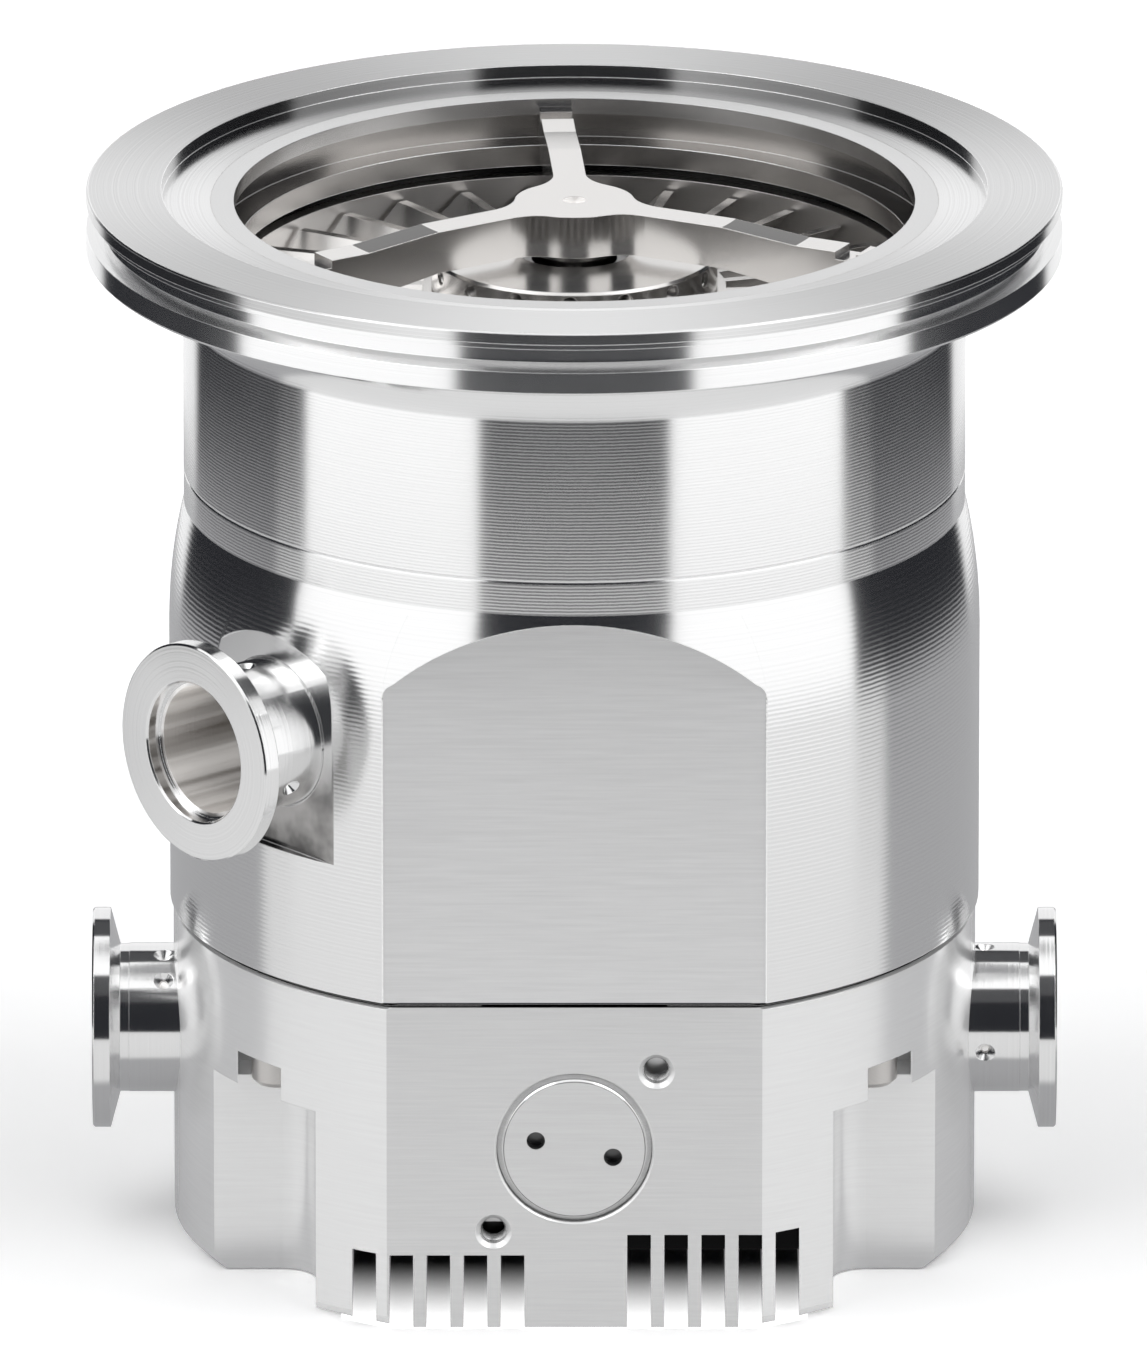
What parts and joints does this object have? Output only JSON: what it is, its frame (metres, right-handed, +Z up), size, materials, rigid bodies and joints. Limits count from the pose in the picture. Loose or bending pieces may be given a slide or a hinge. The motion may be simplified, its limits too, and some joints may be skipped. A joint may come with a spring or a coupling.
{
  "type": "turbomolecular pump",
  "caption": "Turbomolecular pump with a clamp-flange inlet, a bearing holder over a bladed rotor, small flanged side ports, and a milled base with cooling slots.",
  "frame": {"origin": "centre of the foot, at the height of the surface that the pump stands on", "axes": "+Z up along the rotor's axis, out of the inlet; -Y towards the flat front with the plug"},
  "size_m": [0.18, 0.18, 0.1996],
  "materials": {
    "machined_aluminium": "fine turned and milled",
    "plug_aluminium": "fine milled",
    "rotor_aluminium": "milled",
    "blade_aluminium": "satin",
    "turned_steel": "bright turned",
    "holder_steel": "satin milled",
    "screw_steel": "bright",
    "bearing_steel": "ground",
    "core_steel": "stamped sheets",
    "plated_steel": "plated",
    "magnet": "ground",
    "copper": "enamelled wire",
    "black_rubber": "matte",
    "felt": "soft",
    "contact_plastic": "matte"
  },
  "bodies": {
    "housing": {"envelope": "machined_aluminium", "base": "machined_aluminium", "nozzle_left": "turned_steel", "nozzle_right": "turned_steel", "nozzle_interstage": "turned_steel", "port_seal_left": "black_rubber", "port_seal_right": "black_rubber", "port_seal_interstage": "black_rubber", "vent_plug": "plug_aluminium", "vent_seal": "black_rubber", "envelope_screw_1": "screw_steel", "envelope_screw_2": "screw_steel", "envelope_screw_3": "screw_steel", "envelope_screw_4": "screw_steel", "spider": "holder_steel", "spider_retainer": "machined_aluminium", "fixed_magnet_stack": "magnet", "touchdown_bearing": "bearing_steel", "stator_1_front": "blade_aluminium", "stator_1_back": "blade_aluminium", "stator_2_front": "blade_aluminium", "stator_2_back": "blade_aluminium", "stator_3_front": "blade_aluminium", "stator_3_back": "blade_aluminium", "spacer_1": "blade_aluminium", "spacer_2": "blade_aluminium", "spacer_3": "blade_aluminium", "interstage_spacer": "blade_aluminium", "drag_stator_outer": "blade_aluminium", "drag_stator_inner": "blade_aluminium", "motor_core": "core_steel", "motor_winding_lower": "copper", "motor_winding_upper": "copper", "bearing_outer_race": "bearing_steel", "damper_ring_lower": "black_rubber", "damper_ring_upper": "black_rubber", "oil_felt": "felt", "cartridge_cover": "plug_aluminium", "cover_seal": "black_rubber", "base_seal": "black_rubber", "drive_socket": "plated_steel", "drive_contacts": "contact_plastic", "drive_socket_screw_left": "screw_steel", "drive_socket_screw_right": "screw_steel"},
    "rotor": {"shaft": "bearing_steel", "rotor_hub": "rotor_aluminium", "rotor_stage_1": "rotor_aluminium", "rotor_stage_2": "rotor_aluminium", "rotor_stage_3": "rotor_aluminium", "rotor_drag_bell": "rotor_aluminium", "rotor_magnet_ring": "magnet", "motor_sleeve": "magnet", "bearing_inner_race": "bearing_steel", "oil_nut": "bearing_steel"},
    "ball_set": {"bearing_cage": "contact_plastic", "bearing_balls": "bearing_steel"}
  },
  "joints": [
    {"name": "rotor_spin", "type": "hinge", "parent": "housing", "child": "rotor", "pos_m": [0, 0, 0.1], "axis": [0, 0, 1], "continuous": true},
    {"name": "cage_spin", "type": "hinge", "parent": "housing", "child": "ball_set", "pos_m": [0, 0, 0.0155], "axis": [0, 0, 1], "continuous": true}
  ],
  "couplings": [
    {"joint": "cage_spin", "follows": "rotor_spin", "ratio": 0.403}
  ]
}
